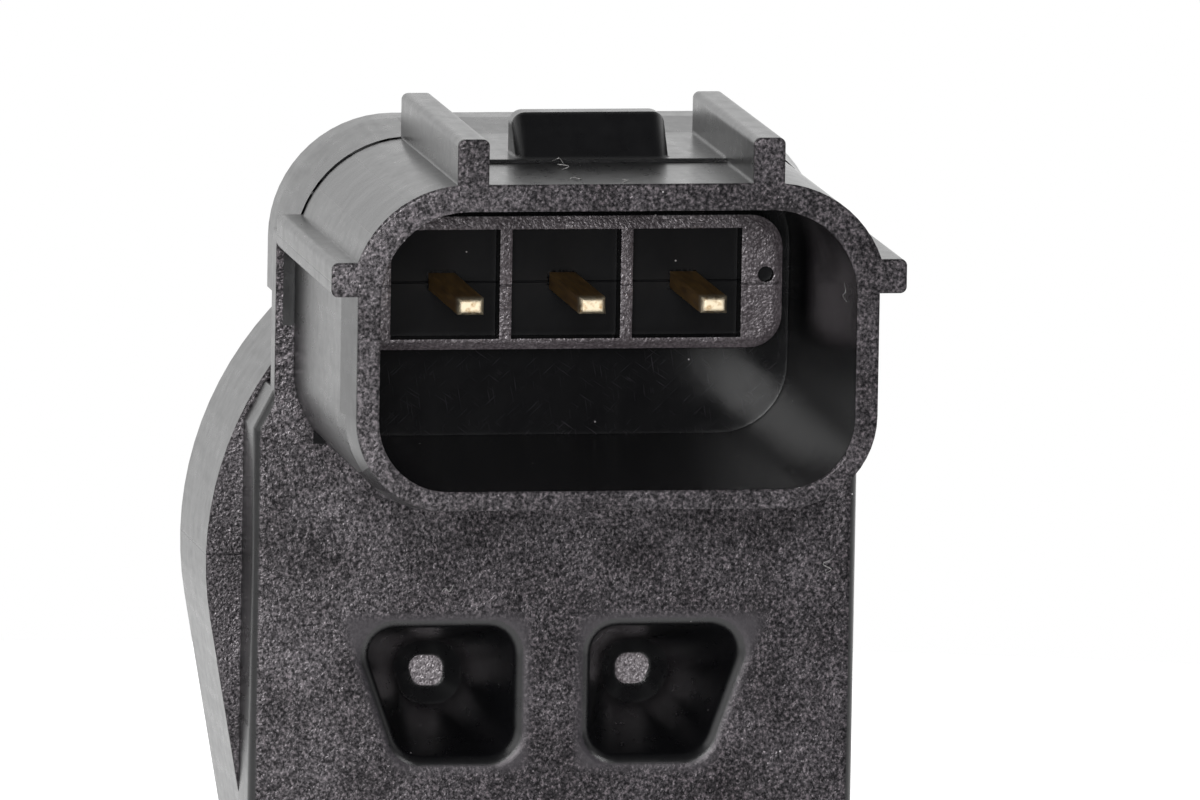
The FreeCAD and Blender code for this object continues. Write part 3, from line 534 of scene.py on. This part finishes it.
    # the grain shines unevenly in clouds of 2.5 mm, and more towards the left edge, which is painted light standing
    # in for light falling from the left
    uneven = add(tree, "ShaderNodeMapRange", [("Value", cloud), ("From Min", 0.3), ("From Max", 0.7),
                                              ("To Min", 0.6), ("To Max", 1.3)]).outputs[0]
    leftward_painted_light = add(tree, "ShaderNodeMapRange", [("Value", place["X"]), ("From Min", -11 * MM), ("From Max", -2 * MM),
                                                ("To Min", 1.5), ("To Max", 0.9)]).outputs[0]
    # rim, pin block and pocket ends shine more than the plate; on the pin block and the pocket ends the stronger
    # shine is painted highlight
    more = 1.5
    for mask, share in ((on.behind_rim, -0.5), (on.block, 0.8), (on.core, 2.2)):
        more = add(tree, "ShaderNodeMath", [(0, mask), (1, share), (2, more)], operation="MULTIPLY_ADD").outputs[0]
    lit = zone(tree, place, (), lit, uneven, leftward_painted_light, more)
    # the polished socket and its wells send less back than the outside
    smooth = 0.5
    for mask, share in ((on.inside, -0.30), (on.well, -0.12)):
        smooth = add(tree, "ShaderNodeMath", [(0, mask), (1, share), (2, smooth)],
                     operation="MULTIPLY_ADD").outputs[0]
    mirror = add(tree, "ShaderNodeMix", [("Factor", relief), ("A", smooth), ("B", lit)])
    tree.links.new(mirror.outputs["Result"], shader.inputs["Specular IOR Level"])
    tint = add(tree, "ShaderNodeMix", [("Factor", on.grain), ("A", (1.0, 1.0, 1.0, 1.0)),
                                       ("B", finish.glint_tint[:])], data_type="RGBA")
    tree.links.new(tint.outputs["Result"], shader.inputs["Specular Tint"])
    shader.inputs["IOR"].default_value = 1.55
    return material


def brass_tarnished(finish):
    """Brass strip, stamped and tarnished: brown along the blade, worn bright at the coined tip."""
    material, tree, shader = new_material("brass_strip_stamped_tarnished")
    here = add(tree, "ShaderNodeTexCoord").outputs["Object"]
    place = add(tree, "ShaderNodeSeparateXYZ", [("Vector", here)]).outputs
    tip = add(tree, "ShaderNodeMapRange", [("Value", place["Y"]), ("From Min", (PIN_TIP_Y + 0.75) * MM),
                                           ("From Max", (PIN_TIP_Y + 0.1) * MM)])
    worn = add(tree, "ShaderNodeTexNoise", [("Vector", here), ("Scale", 1 / (0.22 * MM)), ("Detail", 3.0)])
    worn = add(tree, "ShaderNodeMapRange", [("Value", worn.outputs["Fac"]), ("From Min", 0.25), ("From Max", 0.5)])
    tip = add(tree, "ShaderNodeMath", [(0, tip.outputs[0]), (1, worn.outputs[0])], operation="MULTIPLY")
    drawn = add(tree, "ShaderNodeMapping", [("Vector", here), ("Scale", (1.0, 0.08, 1.0))])
    streak = add(tree, "ShaderNodeTexNoise", [("Vector", drawn.outputs[0]), ("Scale", 1 / (0.14 * MM)),
                                              ("Detail", 3.0)])
    stain = add(tree, "ShaderNodeMix", [("Factor", streak.outputs["Fac"]), ("A", finish.tarnish[:]),
                                        ("B", finish.brass[:])], data_type="RGBA")
    colour = add(tree, "ShaderNodeMix", [("Factor", tip.outputs[0]), ("A", stain.outputs["Result"]),
                                         ("B", finish.rubbed_brass[:])], data_type="RGBA")
    tree.links.new(colour.outputs["Result"], shader.inputs["Base Color"])
    gloss = add(tree, "ShaderNodeMapRange", [("Value", streak.outputs["Fac"]), ("To Min", 0.34), ("To Max", 0.6)])
    tree.links.new(gloss.outputs[0], shader.inputs["Roughness"])
    shader.inputs["Metallic"].default_value = 1.0
    rounded = add(tree, "ShaderNodeBevel", [("Radius", 0.17 * MM)], samples=4)
    lines = add(tree, "ShaderNodeBump", [("Strength", 0.6), ("Distance", 0.006 * MM),
                                         ("Height", streak.outputs["Fac"]), ("Normal", rounded.outputs[0])])
    tree.links.new(lines.outputs[0], shader.inputs["Normal"])
    return material


def plain_finish(name, dark, pale, spot_mm, roughness, metallic, bump_mm):
    """A two-tone finish with spots of a given size, for pieces that have one even surface.

    roughness is a range over the spots, and bump_mm the depth of the relief.
    """
    material, tree, shader = new_material(name)
    here = add(tree, "ShaderNodeTexCoord").outputs["Object"]
    spots = add(tree, "ShaderNodeTexNoise", [("Vector", here), ("Scale", 1 / (spot_mm * MM)), ("Detail", 3.0)])
    colour = add(tree, "ShaderNodeMix", [("Factor", spots.outputs["Fac"]), ("A", dark), ("B", pale)],
                 data_type="RGBA")
    tree.links.new(colour.outputs["Result"], shader.inputs["Base Color"])
    low, high = roughness
    gloss = add(tree, "ShaderNodeMapRange", [("Value", spots.outputs["Fac"]), ("To Min", low), ("To Max", high)])
    tree.links.new(gloss.outputs[0], shader.inputs["Roughness"])
    shader.inputs["Metallic"].default_value = metallic
    rounded = add(tree, "ShaderNodeBevel", [("Radius", 0.15 * MM)], samples=4)
    relief = add(tree, "ShaderNodeBump", [("Strength", 0.6), ("Distance", bump_mm * MM),
                                          ("Height", spots.outputs["Fac"]), ("Normal", rounded.outputs[0])])
    tree.links.new(relief.outputs[0], shader.inputs["Normal"])
    return material


# Settings


def colour_property(label, text, code):
    """A colour setting with its default as an sRGB hex code."""
    return FloatVectorProperty(name=label, description=text, subtype="COLOR", size=4, min=0.0, max=1.0,
                               default=linear(code))


class SensorFinish(bpy.types.PropertyGroup):
    """Colours and surface sizes of the sensor's materials."""
    smooth_black: colour_property("Polished black", "Black of the draw-polished faces", "#0b0b0d")
    grain_dark: colour_property("Grain, dark", "Darker tone of the spark-eroded faces", "#100e11")
    grain_pale: colour_property("Grain, pale", "Paler tone of the spark-eroded faces", "#1c191e")
    # painted highlight: the pale colour of the painted glints on the grain
    painted_grain_glint: colour_property("Grain, glint", "Crater lips that catch the light", "#554d52")
    glint_tint: colour_property("Glint tint", "Pinkish tint of the light off the grain", "#fff8fc")
    scratch: colour_property("Scratches", "Wiping scratches in the socket", "#29272b")
    band: colour_property("Smooth band", "Smooth band round each pocket", "#242226")
    # painted highlight: pale colour standing in for the light on the pockets' ends and the pin block
    painted_highlight: colour_property("Rubbed", "Pale pocket ends and pin block", "#6a6266")
    dust: colour_property("Dust", "Pale settled specks", "#b9b6b8")
    lint: colour_property("Lint", "Stray fibres", "#c9c7c6")
    brass: colour_property("Brass", "Clean brass along the blade", "#c8a368")
    tarnish: colour_property("Tarnish", "Brown tarnish on the blade", "#7a5835")
    rubbed_brass: colour_property("Rubbed brass", "Bright metal at the pin tips", "#e6d8bd")
    edge_radius: FloatProperty(name="Edge radius", description="Radius that light sees on moulded edges",
                               default=0.22 * MM, unit="LENGTH")
    grain_depth: FloatProperty(name="Grain depth", description="Depth of the spark-eroded craters",
                               default=0.04 * MM, unit="LENGTH")
    socket_roughness: FloatProperty(name="Socket roughness", description="Roughness of the polished socket",
                                    default=0.22, min=0.0, max=1.0, subtype="FACTOR")
    grain_roughness: FloatProperty(name="Grain roughness", description="Roughness within the craters",
                                   default=0.34, min=0.0, max=1.0, subtype="FACTOR")


class SensorFlash(bpy.types.PropertyGroup):
    """Sizes of the moulding flash."""
    rim_reach: FloatProperty(name="Rim flash", description="Furthest reach of the flash inside the mouth",
                             default=0.30 * MM, unit="LENGTH")
    collar_reach: FloatProperty(name="Pin flash", description="Reach of the flash round each pin",
                                default=0.15 * MM, unit="LENGTH")
    seed: IntProperty(name="Seed", description="Seed of the ragged edges", default=7)


class SensorStudio(bpy.types.PropertyGroup):
    """Camera and light."""
    azimuth: FloatProperty(name="Azimuth", description="Camera to the left of the mouth's axis",
                           default=math.radians(9.9), subtype="ANGLE")
    elevation: FloatProperty(name="Elevation", description="Camera above the mouth's axis",
                             default=math.radians(8.35), subtype="ANGLE")
    roll: FloatProperty(name="Roll", description="Turn of the picture", default=math.radians(0.97), subtype="ANGLE")
    distance: FloatProperty(name="Distance", description="Camera to the mouth's rim", default=0.8, unit="LENGTH")
    lens: FloatProperty(name="Lens", description="Focal length in millimetres", default=633.6)
    surround: FloatProperty(name="Surround", description="Strength of the white surroundings", default=1.25)
    behind_camera: FloatProperty(name="Behind camera", description="Strength of the surroundings behind the camera",
                                 default=0.10)
    overhead: FloatProperty(name="Overhead", description="Share of the surroundings' light from straight above",
                            default=0.35, min=0.0, max=1.0, subtype="FACTOR")


# Pieces


class SENSOR_OT_housing(bpy.types.Operator):
    """Dress the moulded housing."""
    bl_idname = "sensor.housing"
    bl_label = "Housing finish"

    def execute(self, context):
        dress("housing", pbt_moulded(context.scene.sensor_finish))
        return {"FINISHED"}


class SENSOR_OT_terminals(bpy.types.Operator):
    """Dress the three stamped terminals."""
    bl_idname = "sensor.terminals"
    bl_label = "Terminal finish"

    def execute(self, context):
        material = brass_tarnished(context.scene.sensor_finish)
        for name in ("terminal_supply", "terminal_signal", "terminal_ground"):
            dress(name, material)
        return {"FINISHED"}


class SENSOR_OT_hardware(bpy.types.Operator):
    """Dress the steel bushing, the sealing ring and the sensing element."""
    bl_idname = "sensor.hardware"
    bl_label = "Bushing, seal and element finishes"

    def execute(self, context):
        for names, material, dark, pale, spot_mm, roughness, metallic, bump_mm in HARDWARE:
            finish = plain_finish(material, linear(dark), linear(pale), spot_mm, roughness, metallic, bump_mm)
            for name in names:
                dress(name, finish)
        return {"FINISHED"}


class SENSOR_OT_flash(bpy.types.Operator):
    """Add the ragged moulding flash inside the mouth and round the pins."""
    bl_idname = "sensor.flash"
    bl_label = "Moulding flash"

    def execute(self, context):
        flash = context.scene.sensor_flash
        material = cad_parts["housing"].data.materials[0]
        self.rim(flash, material)
        self.pins(flash, material)
        return {"FINISHED"}

    def rim(self, flash, material):
        """A thin fin along the mouth's inner edge: a three-cornered profile carried round the rounded loop.

        Its reach is a slow wave times a fast wave, each to a power, so that it comes and goes in short tatters.
        """
        count = 2400
        loop, way = rounded_loop(MOUTH_HALF_WIDTH, HOOD_CENTRE - MOUTH_HALF_HEIGHT, HOOD_CENTRE + MOUTH_HALF_HEIGHT,
                                 MOUTH_LOW_RADIUS, MOUTH_HIGH_RADIUS, count)
        slow = smooth_noise(count, flash.seed, 40)
        fast = smooth_noise(count, flash.seed + 1, 420)
        reach = flash.rim_reach / MM * (0.12 + slow ** 2 * fast ** 3 * 2.2).clip(0, 1)
        flat = np.zeros(count)
        profile = [(0.02, flat + 0.01), (-reach, flat + 0.03), (0.02, flat + 0.09)]
        points = carried(profile, loop, way, 0.0, RIM_Y, 0.0)
        grid_piece("rim_flash", points, True, True, material)

    def pins(self, flash, material):
        """A low ragged collar round each pin: a five-cornered profile carried round the blade's outline."""
        count = 240
        reach = flash.collar_reach / MM
        flat = np.zeros(count)
        loop, way = rounded_loop(PIN_HALF_WIDTH, -PIN_HALF_HEIGHT, PIN_HALF_HEIGHT, PIN_CORNER, PIN_CORNER, count)
        for number, name in enumerate(("supply", "signal", "ground")):
            width = reach * (0.25 + 0.75 * smooth_noise(count, flash.seed + 10 + number, 26))
            height = 0.03 + 0.09 * smooth_noise(count, flash.seed + 20 + number, 30) ** 2
            profile = [(width, flat + 0.02), (width * 0.35, -height * 0.6), (flat + 0.015, -height),
                       (flat - 0.04, -height), (flat - 0.04, flat + 0.02)]
            points = carried(profile, loop, way, (number - 1) * PIN_PITCH, WELL_Y, PIN_LEVEL)
            grid_piece("pin_flash_" + name, points, True, True, material)


class SENSOR_OT_lint(bpy.types.Operator):
    """Lay the stray fibres that cling to the moulding."""
    bl_idname = "sensor.lint"
    bl_label = "Lint"

    def execute(self, context):
        finish = context.scene.sensor_finish
        # cotton lint, shed from a cloth: pale, matt, slightly grey
        pale = tuple(finish.lint)
        dark = tuple(0.7 * c for c in pale[:3]) + (1.0,)
        material = plain_finish("cotton_lint_shed", dark, pale, 0.1, (0.7, 0.9), 0.0, 0.001)
        for number, (start, span, curl, lift) in enumerate(FIBRES):
            self.fibre(number, np.array(start), np.array(span), np.array(curl), np.array(lift), material)
        return {"FINISHED"}

    def fibre(self, number, start, span, curl, lift, material):
        """A thin tube: a straight run plus two sine bends, one across it and one away from the surface."""
        steps = 28
        thickest = 0.02
        t = np.linspace(0, 1, steps)[:, None]
        path = start + span * t + curl * np.sin(2.3 * np.pi * t) + lift * np.sin(np.pi * t)
        radius = thickest * (0.35 + 0.65 * np.sin(np.pi * np.linspace(0.04, 0.96, steps)))
        grid_piece(f"lint_{number}", closed_ends(tube(path, radius, 6)), False, True, material)


class SENSOR_OT_stage(bpy.types.Operator):
    """Set the floor, the white surroundings, the lamps and the camera."""
    bl_idname = "sensor.stage"
    bl_label = "Studio"

    def execute(self, context):
        studio = context.scene.sensor_studio
        self.make_floor()
        self.make_world(context.scene, studio)
        self.make_lamps()
        self.make_camera(context.scene, studio)
        context.scene.view_settings.view_transform = "Standard"
        return {"FINISHED"}

    def make_floor(self):
        """A round pale floor under the lowest point: rings of points whose radius grows evenly from the middle."""
        lowest = CAD_BOX[0][2] / MM
        turn = np.linspace(0, 2 * np.pi, FLOOR_SIDES, endpoint=False)
        radius = np.array(FLOOR_RADII)[:, None]
        points = np.stack([radius * np.cos(turn), radius * np.sin(turn),
                           np.full((len(radius), len(turn)), lowest)], axis=-1)
        # white paper, coated matt: even and pale, and lifted to the white of the surroundings where it is seen
        material, tree, shader = new_material("floor_paper_white")
        shader.inputs["Base Color"].default_value = linear("#f4f4f4")
        shader.inputs["Roughness"].default_value = 0.9
        ray = add(tree, "ShaderNodeLightPath").outputs
        seen = ray["Is Camera Ray"]
        for kind in ("Is Glossy Ray", "Is Transmission Ray"):
            seen = add(tree, "ShaderNodeMath", [(0, seen), (1, ray[kind])], operation="MAXIMUM").outputs[0]
        lift = add(tree, "ShaderNodeMath", [(0, seen), (1, FLOOR_LIFT)], operation="MULTIPLY")
        shader.inputs["Emission Color"].default_value = (1.0, 1.0, 1.0, 1.0)
        tree.links.new(lift.outputs[0], shader.inputs["Emission Strength"])
        quads = grid_quads(*points.shape[:2], False, True)[:, ::-1]
        mesh = bpy.data.meshes.new("floor")
        mesh.from_pydata((points.reshape(-1, 3) * MM).tolist(), [], quads.tolist())
        mesh.materials.append(material)
        floor = bpy.data.objects.new("floor", mesh)
        bpy.context.collection.objects.link(floor)

    def make_world(self, scene, studio):
        """White behind and beside the object, dimmer overhead and behind the camera: a tent with an open front."""
        world = bpy.data.worlds.new("light_tent")
        world.use_nodes = True
        tree = world.node_tree
        tree.nodes.clear()
        way = add(tree, "ShaderNodeTexCoord").outputs["Generated"]
        towards = camera_axes(studio)[2]
        front = add(tree, "ShaderNodeVectorMath", [(0, way), (1, tuple(towards))], operation="DOT_PRODUCT")
        dim = add(tree, "ShaderNodeMapRange", [("Value", front.outputs["Value"]), ("From Min", -0.4),
                                               ("From Max", 0.4), ("To Min", studio.surround),
                                               ("To Max", studio.behind_camera)],
                  interpolation_type="SMOOTHSTEP")
        height = add(tree, "ShaderNodeSeparateXYZ", [("Vector", way)]).outputs["Z"]
        top = add(tree, "ShaderNodeMapRange", [("Value", height), ("From Min", 0.45), ("From Max", 0.85),
                                               ("To Min", 1.0), ("To Max", studio.overhead)],
                  interpolation_type="SMOOTHSTEP")
        dim = add(tree, "ShaderNodeMath", [(0, dim.outputs[0]), (1, top.outputs[0])], operation="MULTIPLY")
        ray = add(tree, "ShaderNodeLightPath").outputs
        strength = add(tree, "ShaderNodeMix", [("Factor", ray["Is Camera Ray"]), ("A", dim.outputs[0]), ("B", 1.0)])
        sky = add(tree, "ShaderNodeBackground", [("Color", (1.0, 1.0, 1.0, 1.0)),
                                                 ("Strength", strength.outputs["Result"])])
        add(tree, "ShaderNodeOutputWorld", [("Surface", sky.outputs[0])])
        scene.world = world

    def make_lamps(self):
        """Soft boxes to the left, to the right and in front, all aimed at the hood."""
        for name, (place, side, power) in LAMPS.items():
            lamp = bpy.data.lights.new(name, "AREA")
            lamp.size = side
            lamp.energy = power
            box = bpy.data.objects.new(name, lamp)
            box.location = place
            aim = Vector(LAMP_AIM) - Vector(place)
            box.rotation_euler = aim.to_track_quat("-Z", "Y").to_euler()
            bpy.context.collection.objects.link(box)

    def make_camera(self, scene, studio):
        """The camera that the rim's outline, ribs and plate edges of the photograph agree on."""
        right, up, back = camera_axes(studio)
        pixel = FILM_WIDTH / studio.lens * studio.distance / PICTURE_WIDTH
        aside, rise = ASIDE_PIXELS * pixel, RISE_PIXELS * pixel
        anchor = Vector((0.0, RIM_Y * MM, 0.0))
        spot = anchor + back * studio.distance - right * aside + up * rise
        lens = bpy.data.cameras.new("photo_camera")
        lens.sensor_width = FILM_WIDTH
        lens.lens = studio.lens
        camera = bpy.data.objects.new("photo_camera", lens)
        axes = Matrix((right, up, back)).transposed().to_4x4()
        camera.matrix_world = Matrix.Translation(spot) @ axes
        bpy.context.collection.objects.link(camera)
        scene.camera = camera


def camera_axes(studio):
    """The camera's right, up and backward directions from its azimuth, elevation and roll."""
    a, b, r = studio.azimuth, studio.elevation, studio.roll
    forward = Vector((math.sin(a) * math.cos(b), math.cos(a) * math.cos(b), -math.sin(b)))
    level = Vector((math.cos(a), -math.sin(a), 0.0))
    upright = level.cross(forward)
    right = level * math.cos(r) + upright * math.sin(r)
    up = upright * math.cos(r) - level * math.sin(r)
    return right, up, -forward


class SENSOR_PT_panel(bpy.types.Panel):
    """Lists the sensor's operators and settings."""
    bl_idname = "SENSOR_PT_panel"
    bl_label = "Camshaft position sensor"
    bl_space_type = "VIEW_3D"
    bl_region_type = "UI"
    bl_category = "Sensor"

    def draw(self, context):
        for operator in OPERATORS:
            self.layout.operator(operator.bl_idname)
        for group in (context.scene.sensor_finish, context.scene.sensor_flash, context.scene.sensor_studio):
            box = self.layout.box()
            for name in group.__annotations__:
                box.prop(group, name)


OPERATORS = (SENSOR_OT_housing, SENSOR_OT_terminals, SENSOR_OT_hardware, SENSOR_OT_flash, SENSOR_OT_lint,
             SENSOR_OT_stage)
GROUPS = {"sensor_finish": SensorFinish, "sensor_flash": SensorFlash, "sensor_studio": SensorStudio}


def register():
    """Register the classes and put the settings on the scene."""
    for cls in (*GROUPS.values(), *OPERATORS, SENSOR_PT_panel):
        bpy.utils.register_class(cls)
    for name, group in GROUPS.items():
        setattr(bpy.types.Scene, name, PointerProperty(type=group))


def unregister():
    """Take the settings and the classes away again."""
    for name in GROUPS:
        delattr(bpy.types.Scene, name)
    for cls in (SENSOR_PT_panel, *OPERATORS, *GROUPS.values()):
        bpy.utils.unregister_class(cls)


def main():
    register()
    bpy.ops.sensor.housing()
    bpy.ops.sensor.terminals()
    bpy.ops.sensor.hardware()
    bpy.ops.sensor.flash()
    bpy.ops.sensor.lint()
    bpy.ops.sensor.stage()


if __name__ == "__main__":
    main()
